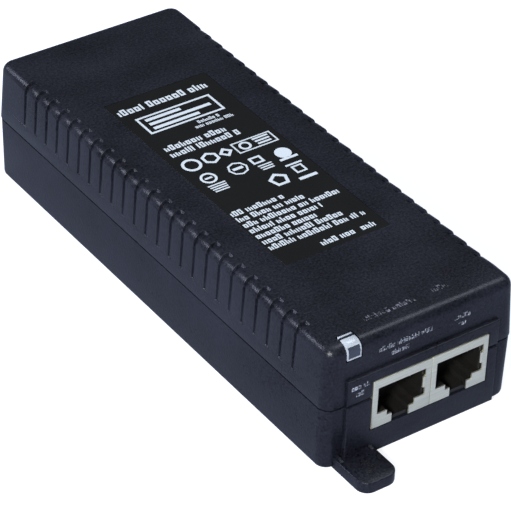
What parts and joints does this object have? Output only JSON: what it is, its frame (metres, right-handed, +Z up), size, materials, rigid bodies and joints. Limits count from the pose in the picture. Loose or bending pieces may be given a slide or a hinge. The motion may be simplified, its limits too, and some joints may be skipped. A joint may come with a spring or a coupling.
{
  "type": "poe injector",
  "caption": "Long flat moulded power-over-Ethernet injector with two shielded network jacks in one end, a mains inlet in the other, grip flutes and mounting ears.",
  "frame": {"origin": "middle of the footprint, on the surface the case stands on", "axes": "+Z up, -Y out of the end with the network jacks, +X to the right seen from that end"},
  "size_m": [0.053, 0.1618, 0.033],
  "materials": {
    "case_plastic": "fine moulded texture",
    "label_film": "satin film",
    "clear_plastic": "clear moulded plastic",
    "tinned_steel": "tin plated sheet",
    "socket_plastic": "smooth black moulding",
    "gold_plate": "gold plated",
    "pin_metal": "nickel plated brass",
    "board_laminate": "green solder mask",
    "screw_steel": "dark zinc plated",
    "heat_sink_alloy": "mill finish",
    "moulded_epoxy": "moulded epoxy",
    "capacitor_sleeve": "shrunk sleeve",
    "film_capacitor": "smooth box",
    "ferrite": "ground ferrite",
    "winding_tape": "polyester tape",
    "fuse_ceramic": "glazed ceramic",
    "insulator": "fibre sheet",
    "led_resin": "clear resin"
  },
  "bodies": {
    "case": {"bottom_case": "case_plastic", "top_cover": "case_plastic", "rating_label": "label_film", "light_pipe": "clear_plastic", "jack_shield_in": "tinned_steel", "jack_shield_out": "tinned_steel", "jack_insert_in": "socket_plastic", "jack_insert_out": "socket_plastic", "inlet_housing": "socket_plastic", "inlet_pin_line": "pin_metal", "inlet_pin_neutral": "pin_metal", "inlet_pin_earth": "pin_metal", "main_board": "board_laminate", "case_screw_1": "screw_steel", "case_screw_2": "screw_steel", "case_screw_3": "screw_steel", "case_screw_4": "screw_steel", "primary_heat_sink": "heat_sink_alloy", "secondary_heat_sink": "heat_sink_alloy", "switching_transistor": "moulded_epoxy", "output_diode": "moulded_epoxy", "bridge_rectifier": "moulded_epoxy", "lan_magnetics": "moulded_epoxy", "controller_chip": "moulded_epoxy", "bulk_capacitor": "capacitor_sleeve", "output_capacitor_1": "capacitor_sleeve", "output_capacitor_2": "capacitor_sleeve", "filter_capacitor": "film_capacitor", "transformer_core": "ferrite", "transformer_winding": "winding_tape", "filter_choke": "winding_tape", "fuse": "fuse_ceramic", "insulating_sheet": "insulator", "status_led": "led_resin"},
    "contacts_in": {"contact_in_1": "gold_plate", "contact_in_2": "gold_plate", "contact_in_3": "gold_plate", "contact_in_4": "gold_plate", "contact_in_5": "gold_plate", "contact_in_6": "gold_plate", "contact_in_7": "gold_plate", "contact_in_8": "gold_plate"},
    "contacts_out": {"contact_out_1": "gold_plate", "contact_out_2": "gold_plate", "contact_out_3": "gold_plate", "contact_out_4": "gold_plate", "contact_out_5": "gold_plate", "contact_out_6": "gold_plate", "contact_out_7": "gold_plate", "contact_out_8": "gold_plate"}
  },
  "joints": [
    {"name": "contact_flex_in", "type": "hinge", "parent": "case", "child": "contacts_in", "pos_m": [0.01008, -0.068, 0.01955], "axis": [1, 0, 0], "range_deg": [0, 6], "stiffness_Nm_per_rad": 0.6},
    {"name": "contact_flex_out", "type": "hinge", "parent": "case", "child": "contacts_out", "pos_m": [-0.00617, -0.068, 0.01955], "axis": [1, 0, 0], "range_deg": [0, 6], "stiffness_Nm_per_rad": 0.6}
  ]
}
